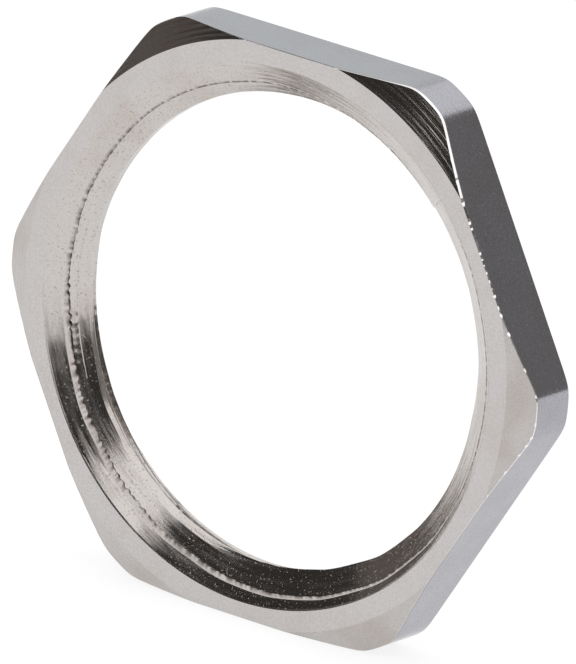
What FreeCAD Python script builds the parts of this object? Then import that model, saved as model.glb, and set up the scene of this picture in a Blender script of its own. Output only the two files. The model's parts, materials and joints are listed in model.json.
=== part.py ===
import FreeCAD, Part

import math
import os

# Lock nut of a cable gland: a thin hexagon nut with a PG 16 thread, machined in one piece.
# It stands on one of its flats. The thread's axis is Y, the chamfered outer face looks along -Y,
# +Z is up, and the origin is the centre of the flat it stands on, half way through the thickness.
# All dimensions are in millimetres.

# Body
ACROSS_FLATS = 26.0
THICKNESS = 2.95
TURNED_CORNER_RADIUS = 14.51    # the hexagon's corners are turned down to this radius

# Chamfer of the outer face. It cuts the corners only: the middle of each flat keeps a square edge.
CHAMFER_CIRCLE_RADIUS = 13.23
CHAMFER_ANGLE = 25.3            # degrees, measured from the outer face
BACK_EDGE_BREAK = 0.1

# Thread, PG 16, 18 turns to the inch, right-handed. The groove is cut nearly to a sharp root.
PITCH = 25.4 / 18.0
ROOT_RADIUS = 11.5
ROOT_WIDTH = 0.07
MINOR_RADIUS = 10.635
FLANK_ANGLE = 30.0              # degrees, each flank from the plane across the axis
THREAD_START = 0.785            # height of a crest above mid-thickness on the +X side

# Countersinks at the two mouths of the bore
FRONT_MOUTH_RADIUS = 12.25
FRONT_HALF_ANGLE = 54.5         # degrees, measured from the axis
BACK_MOUTH_RADIUS = 11.765
BACK_HALF_ANGLE = 47.7

BORE_SECTORS = 12               # the bore's wall is made of this many equal arcs
SECTOR_ANGLE = 360.0 / BORE_SECTORS
CLEARANCE = 1.0                 # how far the cutting tools reach beyond the faces

HALF_THICKNESS = THICKNESS / 2.0


def hexagon_prism():
    """The bar stock: flats up and down, corners to the left and right."""
    corner_radius = ACROSS_FLATS / math.sqrt(3.0)
    corners = []
    for index in range(7):
        angle = math.radians(60.0 * index)
        corners.append(FreeCAD.Vector(corner_radius * math.cos(angle),
                                      corner_radius * math.sin(angle),
                                      -HALF_THICKNESS))
    face = Part.Face(Part.makePolygon(corners))
    return face.extrude(FreeCAD.Vector(0, 0, THICKNESS))


def turned_blank():
    """The outline left by the lathe: turned corners, outer chamfer and a broken back edge."""
    rise = (TURNED_CORNER_RADIUS - CHAMFER_CIRCLE_RADIUS) * math.tan(math.radians(CHAMFER_ANGLE))
    outline = [
        (0.0, -HALF_THICKNESS),
        (TURNED_CORNER_RADIUS - BACK_EDGE_BREAK, -HALF_THICKNESS),
        (TURNED_CORNER_RADIUS, -HALF_THICKNESS + BACK_EDGE_BREAK),
        (TURNED_CORNER_RADIUS, HALF_THICKNESS - rise),
        (CHAMFER_CIRCLE_RADIUS, HALF_THICKNESS),
        (0.0, HALF_THICKNESS),
        (0.0, -HALF_THICKNESS),
    ]
    points = [FreeCAD.Vector(radius, 0, height) for radius, height in outline]
    face = Part.Face(Part.makePolygon(points))
    return face.revolve(FreeCAD.Vector(0, 0, 0), FreeCAD.Vector(0, 0, 1), 360)


def countersink(mouth_radius, half_angle, side):
    """A cone whose wide end reaches past the face at the given side, +1 outer or -1 back."""
    slope = math.tan(math.radians(half_angle))
    wide_radius = mouth_radius + CLEARANCE * slope
    tip_depth = mouth_radius / slope
    tip = FreeCAD.Vector(0, 0, side * (HALF_THICKNESS - tip_depth))
    direction = FreeCAD.Vector(0, 0, side)
    return Part.makeCone(0.0, wide_radius, tip_depth + CLEARANCE, tip, direction)


def bore_sectors():
    """The minor bore, as a ring of equal wedges that meet on the axis."""
    sectors = []
    for index in range(BORE_SECTORS):
        wedge = Part.makeCylinder(MINOR_RADIUS, THICKNESS + 2.0 * CLEARANCE,
                                  FreeCAD.Vector(0, 0, -HALF_THICKNESS - CLEARANCE),
                                  FreeCAD.Vector(0, 0, 1), SECTOR_ANGLE)
        wedge.rotate(FreeCAD.Vector(0, 0, 0), FreeCAD.Vector(0, 0, 1), index * SECTOR_ANGLE)
        sectors.append(wedge)
    return sectors


def groove_turn(bottom):
    """One turn of the groove between the crests, starting on the +X side at the given height."""
    inner_radius = MINOR_RADIUS - 0.12
    root_half_width = ROOT_WIDTH / 2.0
    mouth_half_width = (root_half_width
                        + (ROOT_RADIUS - inner_radius) * math.tan(math.radians(FLANK_ANGLE)))
    helix = Part.makeHelix(PITCH, PITCH, ROOT_RADIUS)
    helix.translate(FreeCAD.Vector(0, 0, bottom))
    section = [
        (inner_radius, bottom - mouth_half_width),
        (ROOT_RADIUS, bottom - root_half_width),
        (ROOT_RADIUS, bottom + root_half_width),
        (inner_radius, bottom + mouth_half_width),
        (inner_radius, bottom - mouth_half_width),
    ]
    profile = Part.makePolygon([FreeCAD.Vector(radius, 0, height) for radius, height in section])
    return Part.Wire(helix.Edges).makePipeShell([profile], True, True)


def thread_groove():
    """The whole groove: turns that follow one another from behind the nut to in front of it.

    Each starts a little round from the +X side, so that its ends miss the joins of the bore's arcs.
    """
    start_angle = SECTOR_ANGLE / 2.0
    first_height = THREAD_START - PITCH / 2.0
    turns = []
    for index in range(-2, 2):
        turn = groove_turn(first_height + PITCH * index)
        turn.translate(FreeCAD.Vector(0, 0, PITCH * start_angle / 360.0))
        turn.rotate(FreeCAD.Vector(0, 0, 0), FreeCAD.Vector(0, 0, 1), start_angle)
        turns.append(turn)
    return turns


def lock_nut():
    nut = hexagon_prism().common(turned_blank())
    nut = nut.cut(countersink(FRONT_MOUTH_RADIUS, FRONT_HALF_ANGLE, 1))
    nut = nut.cut(countersink(BACK_MOUTH_RADIUS, BACK_HALF_ANGLE, -1))
    nut = nut.cut(bore_sectors())
    nut = nut.cut(thread_groove())
    nut = nut.Solids[0]
    nut.rotate(FreeCAD.Vector(0, 0, 0), FreeCAD.Vector(1, 0, 0), 90)
    nut.translate(FreeCAD.Vector(0, 0, ACROSS_FLATS / 2.0))
    return nut


os.makedirs("parts", exist_ok=True)
lock_nut().exportStep("parts/lock_nut.step")
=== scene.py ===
import json
import math

import bpy
import numpy as np
from mathutils import Matrix, Vector


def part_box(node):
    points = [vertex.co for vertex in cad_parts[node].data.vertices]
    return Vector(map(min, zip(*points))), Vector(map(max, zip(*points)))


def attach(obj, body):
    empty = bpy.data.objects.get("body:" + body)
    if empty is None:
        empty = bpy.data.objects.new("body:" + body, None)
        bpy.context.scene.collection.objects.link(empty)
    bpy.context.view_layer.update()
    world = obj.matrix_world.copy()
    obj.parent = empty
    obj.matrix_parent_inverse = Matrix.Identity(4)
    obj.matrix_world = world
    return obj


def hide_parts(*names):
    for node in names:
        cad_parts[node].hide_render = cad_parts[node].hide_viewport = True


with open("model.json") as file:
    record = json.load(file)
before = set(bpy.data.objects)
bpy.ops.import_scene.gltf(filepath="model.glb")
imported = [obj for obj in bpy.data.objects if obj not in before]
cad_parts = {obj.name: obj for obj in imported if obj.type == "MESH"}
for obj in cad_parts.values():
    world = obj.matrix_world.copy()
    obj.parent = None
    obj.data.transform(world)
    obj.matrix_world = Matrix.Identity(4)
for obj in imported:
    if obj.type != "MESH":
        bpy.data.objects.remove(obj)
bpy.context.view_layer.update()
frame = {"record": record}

# ---------------------------------------------------------------- sizes, in metres
# The nut's axis is Y. Its outer, chamfered face looks along -Y. Angles go from +X towards +Z,
# and depth is measured from the outer face. Bearings on the nut are such angles, in degrees.
MM = 0.001
LOW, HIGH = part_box("lock_nut")
ACROSS_FLATS = HIGH.z - LOW.z
THICKNESS = HIGH.y - LOW.y
CORNER_RADIUS = (HIGH.x - LOW.x) / 2
AXIS_HEIGHT = (HIGH.z + LOW.z) / 2
# From a corner's middle to the seam where its turned part meets the flat, in degrees.
SEAM_ANGLE = 30 - math.degrees(math.acos(ACROSS_FLATS / 2 / CORNER_RADIUS))

# The thread, with the marks that the threading tool leaves on it.
THREAD = next(m for m in frame["record"]["mounts"] if m["name"] == "thread")
CREST_RADIUS = THREAD["dims"]["r_mm"] * MM
PITCH = 25.4 / 18 * MM
CREST_DEPTH = 0.690 * MM         # of one crest's middle, on the +X side
CREST_WIDTH = 0.34 * MM
REAR_SLOPE = math.tan(math.radians(36))
FRONT_SIDE_SLOPE = math.tan(math.radians(30))
WANDER = 0.02 * MM               # how far the thread strays from a true helix
SCRATCH_HEIGHT = 0.37 * MM       # out from the crest, where the scratch starts
SCRATCH, SCRATCH_STEP = 0.05 * MM, 0.01 * MM
CREST_BURR = 0.03 * MM           # half the width of the small burr on each crest
CREST_BURR_HEIGHT = 0.008 * MM
UNEVENNESS = 0.003 * MM          # of the whole bore's wall

# The burr where the front countersink breaks into the groove, which winds like the thread.
BURR_DEPTH = 0.91 * MM           # on the +X side
BURR_CLIMB = 0.78 * MM           # towards the outer face, in one turn
BURR_SLOPE = math.tan(math.radians(8))
BURR_THICKNESS = 0.06 * MM
BURR_LEAST, BURR_EXTRA = 0.05, 0.25    # in mm, thrown inward: at least, and more where broad
BROAD_BEARING = 215              # where the burr is broadest
FADE_REACH = 25                  # degrees over which it fades out beside the first column
FOOT_FRONT, FOOT_BACK = 0.065 * MM, 0.03 * MM    # the strip of painted shade in the crease at the burr's foot

# The two countersinks and the chamfer.
FRONT_MOUTH = 12.25 * MM
FRONT_SLOPE = math.tan(math.radians(54.5))
BACK_MOUTH = 11.765 * MM
BACK_SLOPE = math.tan(math.radians(47.7))
LIP = 0.03 * MM                  # small bevel where the front countersink meets the face
CHAMFER_CIRCLE = 13.23 * MM
CHAMFER_SLOPE = math.tan(math.radians(25.3))
FEED = 0.25 * MM                 # the chamfering tool's feed, which leaves the rings
RING_DEPTH = 0.0085 * MM

# The outer edges.
EDGE_BREAK = 0.06 * MM
WEAR = 0.10 * MM                 # rounding where the turned corners run into the flats
KNOCKED_BEARING = 8              # where the front edge is nicked, and its painted highlight shows in beads
POLISHED_BEARING = 48            # where the front edge is worn broad, and its painted highlight shows
SEAM_BEARING, SEAM_REACH = 110, 9      # the one seam with a thin darker line
SEAM_WIDTH = 0.12                # in degrees

# The mesh. The bore's loops climb one pitch in a turn, so where they end and start again they
# join one pitch apart, which leaves a fine crease across the bore's wall.
COLUMNS = 1380
FIRST_COLUMN = math.radians(45)  # where the bore's loops end and start again
MARGIN = 0.005 * MM              # between the bore's loops and the rows at its two ends

FACE, CHAMFER, FLATS, BORE, EDGE = range(5)


def ripple(angle, seed, lowest, highest, count=24):
    """A smooth, seeded unevenness that closes on itself round the circle, mostly within +-1."""
    draw = np.random.default_rng(seed)
    waves = draw.integers(lowest, highest, count)
    phases = draw.uniform(0, 2 * np.pi, count)
    total = sum(np.sin(w * angle + p) for w, p in zip(waves, phases))
    return total / math.sqrt(count)


def degrees_from(angle, bearing):
    """How far each angle is from a bearing, in degrees, the short way round."""
    return np.abs((np.degrees(angle) - bearing + 180) % 360 - 180)


def flat_radius(angle):
    """How far the hexagon reaches at each angle, with its corners turned down."""
    from_flat = np.degrees(angle) % 60 - 30
    flat = ACROSS_FLATS / 2 / np.cos(np.radians(from_flat))
    rounding = WEAR * np.log1p(np.exp(-np.abs(flat - CORNER_RADIUS) / WEAR))
    return np.minimum(flat, CORNER_RADIUS) - rounding


def wander(angle):
    """How far the threading tool strays along the axis at each angle."""
    return WANDER * ripple(angle, 4, 3, 24)


def crest_depth(angle):
    """Depth of the middle of one crest: it winds towards the outer face as the angle grows."""
    return CREST_DEPTH - PITCH * angle / (2 * np.pi) + wander(angle)


def thread_radius(angle, depth):
    """The thread's wall, with a scratch part-way down each groove's rear side and a burr along
    the rear edge of each crest."""
    turns = (depth - crest_depth(angle)) / PITCH
    from_crest = (turns - np.round(turns)) * PITCH
    lumps = 1 + 0.12 * ripple(angle, 7, 40, 200)
    rear = np.maximum(-from_crest - CREST_WIDTH / 2, 0) / REAR_SLOPE
    rear = rear + SCRATCH * lumps * np.clip((rear - SCRATCH_HEIGHT) / SCRATCH_STEP, 0, 1)
    front = np.maximum(from_crest - CREST_WIDTH / 2, 0) / FRONT_SIDE_SLOPE
    on_crest = np.clip(1 - np.abs(from_crest - CREST_WIDTH / 2 + CREST_BURR) / CREST_BURR, 0, 1)
    return CREST_RADIUS + np.maximum(rear, front) - CREST_BURR_HEIGHT * lumps * on_crest


def burr_edges(angle):
    """The burr where the front countersink breaks into the groove: the depth where it starts, the
    depth where it ends, how far inward it is thrown, how broad it is (0 to 1) and its fading."""
    start = BURR_DEPTH - BURR_CLIMB * angle / (2 * np.pi) + wander(angle)
    broad = (0.5 + 0.5 * np.cos(angle - math.radians(BROAD_BEARING))) ** 2
    lumps = 1 + (0.03 + 0.10 * broad) * ripple(angle, 6, 60, 240, 48)
    fade = np.clip(degrees_from(angle, math.degrees(FIRST_COLUMN)) / FADE_REACH, 0, 1)
    width = fade * (BURR_LEAST + BURR_EXTRA * broad) * MM * np.clip(lumps, 0.3, 1.8)
    return start, start + width * BURR_SLOPE + BURR_THICKNESS, width, broad, fade


def bore_wall(angle, depth):
    """The bore's radius, and how much each point is darkened, from 0 to 1: painted shade in the
    crease at the burr's foot.
    """
    start, end, width, broad, fade = burr_edges(angle)
    wall = np.maximum(thread_radius(angle, depth), FRONT_MOUTH - depth * FRONT_SLOPE)
    inward = np.clip((depth - start) / BURR_SLOPE, 0, width)
    burr = FRONT_MOUTH - start * FRONT_SLOPE - inward
    wall = np.where((depth > start) & (depth < end), np.minimum(wall, burr), wall)
    # Painted shade: a dark strip in the crease at the burr's foot.
    foot = (depth > end - FOOT_FRONT) & (depth < end + FOOT_BACK)
    darkening = np.clip(fade * foot * (0.8 - 0.3 * broad + 0.5 * ripple(angle, 8, 30, 300)), 0, 1)
    wall = wall + UNEVENNESS * (1 + ripple(angle, 5, 10, 60))
    return np.maximum(wall, BACK_MOUTH - (THICKNESS - depth) * BACK_SLOPE), darkening


def bore_depths(angle):
    """The depths of the bore's loops, from the back to the front. Most follow an edge."""
    half = CREST_WIDTH / 2
    between = (PITCH - CREST_WIDTH) / FRONT_SIDE_SLOPE - SCRATCH
    root = between / (1 / REAR_SLOPE + 1 / FRONT_SIDE_SLOPE)
    edges = [
        -half - root,
        -half - (SCRATCH_HEIGHT + SCRATCH_STEP) * REAR_SLOPE,
        -half - SCRATCH_HEIGHT * REAR_SLOPE,
        -half,
        half - 2 * CREST_BURR,
        half - CREST_BURR,
        half,
    ]
    depths = [crest_depth(angle) + turn * PITCH + edge for turn in range(4) for edge in edges]
    start, end, width, *_ = burr_edges(angle)
    depths += [start, start + width * BURR_SLOPE]
    depths += [end + beyond * MM for beyond in (-0.001, 0.009, 0.035)]
    depths += [np.full_like(angle, depth) for depth in np.linspace(LIP, THICKNESS, 13)[1:-1]]
    depths = np.clip(depths, LIP + MARGIN, THICKNESS - MARGIN)
    return np.sort(depths, axis=0)[::-1]


def chamfer_depth(radius):
    """The corner chamfer, with the shallow scallops that the tool's feed leaves on it."""
    along = (radius - CHAMFER_CIRCLE) / FEED
    from_middle = np.abs(along % 1 - 0.5) * 2
    smooth = np.maximum(radius - CHAMFER_CIRCLE, 0)
    marks = RING_DEPTH * (1 - from_middle ** 2) * np.clip(along, 0, 1)
    return smooth * CHAMFER_SLOPE + marks


def seam_dark_line(angle):
    """A thin darker line along one seam beside a turned corner."""
    from_corner = np.abs((np.degrees(angle) + 30) % 60 - 30)
    from_seam = np.abs(from_corner - SEAM_ANGLE)
    return 0.7 * np.clip(1.3 - from_seam / SEAM_WIDTH, 0, 1) * (
        degrees_from(angle, SEAM_BEARING) < SEAM_REACH)


def nut_rows(angle):
    """Closed loops of (zone, radius, depth, darkening): out over the face, over the chamfer,
    along the flats, in over the back and up the bore."""
    outer = flat_radius(angle)
    knocked = np.clip(1.5 - degrees_from(angle, KNOCKED_BEARING) / 30, 0, 1)
    polished = np.clip(2.5 - degrees_from(angle, POLISHED_BEARING) / 9, 0, 1)
    dots = np.clip(ripple(angle, 11, 60, 300) - 0.4, 0, 1.6)
    nick = EDGE_BREAK * (0.35 + 0.9 * knocked * dots + 0.75 * polished)
    zero = np.zeros_like(angle)
    face_edge = np.minimum(outer - nick, CHAMFER_CIRCLE)
    rows = [(BORE, zero + FRONT_MOUTH - LIP, zero + LIP)]
    for share in (0.0, 1.0):
        rows.append((FACE, (FRONT_MOUTH + LIP) * (1 - share) + face_edge * share, zero))
    for share in np.linspace(0, 1, 21)[1:]:
        radius = face_edge * (1 - share) + (outer - nick) * share
        rows.append((CHAMFER, radius, chamfer_depth(radius)))
    rim = chamfer_depth(outer) + nick
    rows.append((EDGE, outer, rim))
    for share in (0.02, 1.0):
        rows.append((FLATS, outer, rim * (1 - share) + (THICKNESS - EDGE_BREAK) * share))
    for share in (0.0, 1.0):
        radius = (outer - EDGE_BREAK) * (1 - share) + BACK_MOUTH * share
        rows.append((FACE, radius, zero + THICKNESS))
    # The edge bevel is darkened all round as painted shade, except where knocked or polished, so
    # its painted highlight shows only there; one seam gets a thin darker line.
    darkened_zones = {FLATS: seam_dark_line(angle), EDGE: 0.85 * (1 - np.clip(knocked + polished, 0, 1))}
    rows = [(*row, darkened_zones.get(row[0], zero)) for row in rows]
    for depth in bore_depths(angle):
        radius, darkening = bore_wall(angle, depth)
        rows.append((BORE, radius, depth, darkening))
    return rows


def build_nut(materials):
    """The whole nut as one closed mesh, its rows joined round the section and round the axis."""
    angle = FIRST_COLUMN + np.linspace(0, 2 * np.pi, COLUMNS, endpoint=False)
    rows = nut_rows(angle)
    zone, radius, depth, darkening = (np.array(values) for values in zip(*rows))
    places = np.stack([radius * np.cos(angle), depth + LOW.y,
                       radius * np.sin(angle) + AXIS_HEIGHT], -1).reshape(-1, 3)
    here = np.arange(len(rows) * COLUMNS).reshape(len(rows), COLUMNS)
    beside = np.roll(here, -1, axis=1)
    below = np.roll(here, -1, axis=0)
    across = np.roll(beside, -1, axis=0)
    quads = np.stack([here, below, across, beside], -1).reshape(-1, 4)
    mesh = bpy.data.meshes.new("nickel_nut")
    mesh.from_pydata(places.tolist(), [], quads.tolist())
    for material in materials:
        mesh.materials.append(material)
    # Each strip of faces takes the material of the row that it leads to.
    next_zone = np.roll(zone, -1)
    mesh.polygons.foreach_set("material_index", np.repeat(next_zone, COLUMNS).astype(np.int32))
    mesh.polygons.foreach_set("use_smooth", [True] * len(mesh.polygons))
    mesh.set_sharp_from_angle(angle=math.radians(16))
    # Where a point lies round the circle, and how far across the tool marks it is, in mm.
    marks = np.where(((zone == FLATS) | (zone == BORE))[:, None], depth, radius) / MM
    turned = np.stack([np.broadcast_to(np.cos(angle), radius.shape),
                       np.broadcast_to(np.sin(angle), radius.shape), marks], -1)
    layer = mesh.attributes.new("turned", "FLOAT_VECTOR", "POINT")
    layer.data.foreach_set("vector", turned.astype(np.float32).ravel())
    layer = mesh.attributes.new("darkening", "FLOAT", "POINT")
    layer.data.foreach_set("value", darkening.astype(np.float32).ravel())
    nut = bpy.data.objects.new("nickel_nut", mesh)
    bpy.context.scene.collection.objects.link(nut)
    return nut


# ---------------------------------------------------------------- materials
GRAIN_SCALE, PIT_SCALE, STAIN_SCALE = 14000.0, 10000.0, 420.0
STREAKS_ROUND = 5.0              # how often the streaks change round the circle
# The colour that the mesh's darkening mixes in: painted shade at the burr's foot and round the
# edge bevel, and a thin darker line at one seam.
DARKENING_COLOUR = (0.10, 0.08, 0.07)
FACE_NICKEL, FACE_STAIN = (0.545, 0.52, 0.513), (0.515, 0.485, 0.47)
CHAMFER_NICKEL, CHAMFER_STAIN = (0.50, 0.475, 0.46), (0.44, 0.40, 0.375)
FLATS_NICKEL, FLATS_STAIN = (0.375, 0.375, 0.408), (0.35, 0.34, 0.36)
BORE_NICKEL, BORE_STAIN = (0.56, 0.53, 0.51), (0.50, 0.45, 0.42)
# The edge bevel's colours, brighter than nickel: a painted highlight.
EDGE_HIGHLIGHT_NICKEL, EDGE_HIGHLIGHT_STAIN = (0.88, 0.87, 0.86), (0.70, 0.67, 0.65)


def add_noise(tree, vector, scale, detail=3.0, stretch=None):
    """A noise texture on the given coordinates, stretched by a factor for each axis."""
    noise = tree.nodes.new("ShaderNodeTexNoise")
    noise.inputs["Scale"].default_value = scale
    noise.inputs["Detail"].default_value = detail
    if stretch:
        shape = tree.nodes.new("ShaderNodeVectorMath")
        shape.operation = "MULTIPLY"
        shape.inputs[1].default_value = stretch
        tree.links.new(vector, shape.inputs[0])
        vector = shape.outputs[0]
    tree.links.new(vector, noise.inputs["Vector"])
    return noise.outputs["Fac"]


def add_ramp(tree, value, low, high, start, end):
    """Maps low..high of a value to start..end, held level outside."""
    ramp = tree.nodes.new("ShaderNodeMapRange")
    ramp.inputs["From Min"].default_value = low
    ramp.inputs["From Max"].default_value = high
    ramp.inputs["To Min"].default_value = start
    ramp.inputs["To Max"].default_value = end
    tree.links.new(value, ramp.inputs["Value"])
    return ramp.outputs["Result"]


def add_bump(tree, height, distance, below=None):
    """A bump of the given height in metres, laid over another bump where there is one."""
    bump = tree.nodes.new("ShaderNodeBump")
    bump.inputs["Distance"].default_value = distance
    bump.inputs["Strength"].default_value = 1.0
    tree.links.new(height, bump.inputs["Height"])
    if below:
        tree.links.new(below, bump.inputs["Normal"])
    return bump.outputs["Normal"]


def add_attribute(tree, name):
    """The node that reads one of the mesh's own attributes."""
    node = tree.nodes.new("ShaderNodeAttribute")
    node.attribute_name = name
    return node


def nickel(name, clean, stained, *, streak_depth, streak_rows, grain_depth, shine, dull,
           pit_depth=0.0, speckle=0.06):
    """Bright nickel on turned brass: tool streaks round the axis, fine grain, pits and stains.
    Depths are in mm, and the roughness runs from shine to dull."""
    material = bpy.data.materials.new(name)
    material.use_nodes = True
    tree = material.node_tree
    shader = tree.nodes["Principled BSDF"]
    shader.inputs["Metallic"].default_value = 1.0
    turned = add_attribute(tree, "turned").outputs["Vector"]
    place = tree.nodes.new("ShaderNodeTexCoord").outputs["Object"]
    streaks = add_noise(tree, turned, 1.0, 5.0, (STREAKS_ROUND, STREAKS_ROUND, streak_rows))
    grain = add_noise(tree, place, GRAIN_SCALE)
    stains = add_noise(tree, place, STAIN_SCALE, 6.0)
    normal = add_bump(tree, streaks, streak_depth * MM)
    normal = add_bump(tree, grain, grain_depth * MM, normal)
    if pit_depth:
        pits = add_noise(tree, place, PIT_SCALE, 0.0)
        pit = add_ramp(tree, pits, 0.74, 0.78, 0.0, 1.0)
        normal = add_bump(tree, pit, pit_depth * MM, normal)
    tree.links.new(normal, shader.inputs["Normal"])
    gloss = add_ramp(tree, streaks, 0.3, 0.7, shine, dull)
    tree.links.new(gloss, shader.inputs["Roughness"])
    tint = tree.nodes.new("ShaderNodeMix")
    tint.data_type = "RGBA"
    tint.inputs["A"].default_value = (*clean, 1)
    tint.inputs["B"].default_value = (*stained, 1)
    tree.links.new(add_ramp(tree, stains, 0.45, 0.75, 0.0, 1.0), tint.inputs["Factor"])
    mottle = tree.nodes.new("ShaderNodeVectorMath")
    mottle.operation = "SCALE"
    specks = add_ramp(tree, grain, 0.35, 0.65, 1 - speckle, 1 + speckle)
    tree.links.new(tint.outputs["Result"], mottle.inputs[0])
    tree.links.new(specks, mottle.inputs["Scale"])
    # Mixed towards the darkening colour by the mesh's darkening: painted shade, and one seam's
    # darker line.
    darkening_mix = tree.nodes.new("ShaderNodeMix")
    darkening_mix.data_type = "RGBA"
    darkening_mix.inputs["B"].default_value = (*DARKENING_COLOUR, 1)
    tree.links.new(mottle.outputs["Vector"], darkening_mix.inputs["A"])
    tree.links.new(add_attribute(tree, "darkening").outputs["Fac"], darkening_mix.inputs["Factor"])
    tree.links.new(darkening_mix.outputs["Result"], shader.inputs["Base Color"])
    return material


def nut_materials():
    """One material for each zone, in the zones' order."""
    return [
        nickel("nickel_face", FACE_NICKEL, FACE_STAIN, streak_depth=0.004, streak_rows=9.0,
               grain_depth=0.0006, shine=0.14, dull=0.22),
        nickel("nickel_chamfer", CHAMFER_NICKEL, CHAMFER_STAIN, streak_depth=0.010,
               streak_rows=11.0, grain_depth=0.001, shine=0.10, dull=0.2),
        nickel("nickel_flats", FLATS_NICKEL, FLATS_STAIN, streak_depth=0.004, streak_rows=5.0,
               grain_depth=0.0028, pit_depth=0.002, shine=0.12, dull=0.2, speckle=0.12),
        nickel("nickel_bore", BORE_NICKEL, BORE_STAIN, streak_depth=0.013, streak_rows=8.0,
               grain_depth=0.001, pit_depth=0.013, shine=0.08, dull=0.26),
        # The edge bevel: a painted highlight.
        nickel("painted_highlight_edge", EDGE_HIGHLIGHT_NICKEL, EDGE_HIGHLIGHT_STAIN, streak_depth=0.004, streak_rows=5.0,
               grain_depth=0.001, shine=0.10, dull=0.16),
    ]


# ---------------------------------------------------------------- studio, in metres and degrees
WHITE = (1.0, 1.0, 1.0)
FLOOR_SIDE = 9.0                 # half of it
FAR, NEAR = 6.0, 5.5             # the cards' distances from the nut


def glow(name, colour, strength):
    """A material that only gives light."""
    material = bpy.data.materials.new(name)
    material.use_nodes = True
    nodes = material.node_tree.nodes
    nodes.clear()
    light = nodes.new("ShaderNodeEmission")
    light.inputs["Color"].default_value = (*colour, 1)
    light.inputs["Strength"].default_value = strength
    output = nodes.new("ShaderNodeOutputMaterial")
    material.node_tree.links.new(light.outputs[0], output.inputs["Surface"])
    return material


def curved_card(name, low, high, start, end, radius, material):
    """An upright curved card round the nut, seen only in reflections. It stands between two
    elevations and two bearings, which here go from +Y towards +X."""
    bearings = np.radians(np.linspace(start, end, 25))
    points = []
    for elevation in (low, high):
        height = radius * math.tan(math.radians(elevation))
        points += [(radius * math.sin(b), radius * math.cos(b), height) for b in bearings]
    count = len(bearings)
    faces = [(i, i + 1, count + i + 1, count + i) for i in range(count - 1)]
    mesh = bpy.data.meshes.new(name)
    mesh.from_pydata(points, [], faces)
    mesh.materials.append(material)
    card = bpy.data.objects.new(name, mesh)
    bpy.context.scene.collection.objects.link(card)
    card.visible_camera = False
    card.visible_shadow = False
    card.visible_diffuse = False


def build_world():
    """Even white light from all round."""
    world = bpy.data.worlds.new("studio")
    bpy.context.scene.world = world
    world.use_nodes = True
    background = world.node_tree.nodes["Background"]
    background.inputs["Color"].default_value = (*WHITE, 1)
    background.inputs["Strength"].default_value = 1.22


def build_floor():
    """White paper, which glows so that it stays white under the nut."""
    paper = bpy.data.materials.new("paper")
    paper.use_nodes = True
    shader = paper.node_tree.nodes["Principled BSDF"]
    shader.inputs["Base Color"].default_value = (0.18, 0.18, 0.18, 1)
    shader.inputs["Emission Color"].default_value = (*WHITE, 1)
    shader.inputs["Emission Strength"].default_value = 0.82
    shader.inputs["Roughness"].default_value = 0.9
    shader.inputs["Specular IOR Level"].default_value = 0.1
    mesh = bpy.data.meshes.new("floor")
    side = FLOOR_SIDE
    mesh.from_pydata([(-side, -side, 0), (side, -side, 0), (side, side, 0), (-side, side, 0)],
                     [], [(0, 1, 2, 3)])
    mesh.materials.append(paper)
    floor = bpy.data.objects.new("floor", mesh)
    bpy.context.scene.collection.objects.link(floor)


def build_cards():
    """The cards that the metal mirrors: dark in front and at the left, dim at the right and pale
    behind."""
    dark = glow("dark_card", (0.9, 0.85, 0.8), 0.05)
    brown = glow("brown_card", (1.0, 0.9, 0.85), 0.15)
    pale = glow("pale_card", (0.95, 0.98, 0.97), 0.90)
    dim = glow("dim_card", (1.0, 0.96, 0.92), 0.27)
    curved_card("right_wall", 0.0, 33.0, 0.0, 130.0, FAR, dim)
    curved_card("near_wall", 0.0, 28.0, 130.0, 186.0, FAR, dark)
    curved_card("left_wall", 0.0, 52.0, 186.0, 290.0, FAR, dark)
    curved_card("low_left_wall", 0.0, 18.0, 225.0, 290.0, NEAR, brown)
    curved_card("pale_wall", 0.0, 33.0, -70.0, 0.0, FAR, pale)


def build_camera():
    """The main view: from far off, to the right of the nut and a little above it."""
    camera = bpy.data.cameras.new("camera")
    camera.sensor_fit = "VERTICAL"
    camera.sensor_height = 36.0
    camera.lens = 1400.0
    camera.clip_end = 100.0
    camera.clip_start = 0.05
    holder = bpy.data.objects.new("camera", camera)
    bpy.context.scene.collection.objects.link(holder)
    look = Vector((-0.5564, 0.7731, -0.3045)).normalized()
    up = Vector((-0.2524, 0.1919, 0.9484))
    right = look.cross(up).normalized()
    up = right.cross(look)
    turn = Matrix((right, up, -look)).transposed().to_4x4()
    place = Vector((0.629808, -0.874832, 0.357525))
    holder.matrix_world = Matrix.Translation(place) @ turn
    bpy.context.scene.camera = holder


nut = build_nut(nut_materials())
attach(nut, "root")
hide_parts("lock_nut")
build_world()
build_floor()
build_cards()
build_camera()
bpy.context.scene.view_settings.view_transform = "Standard"
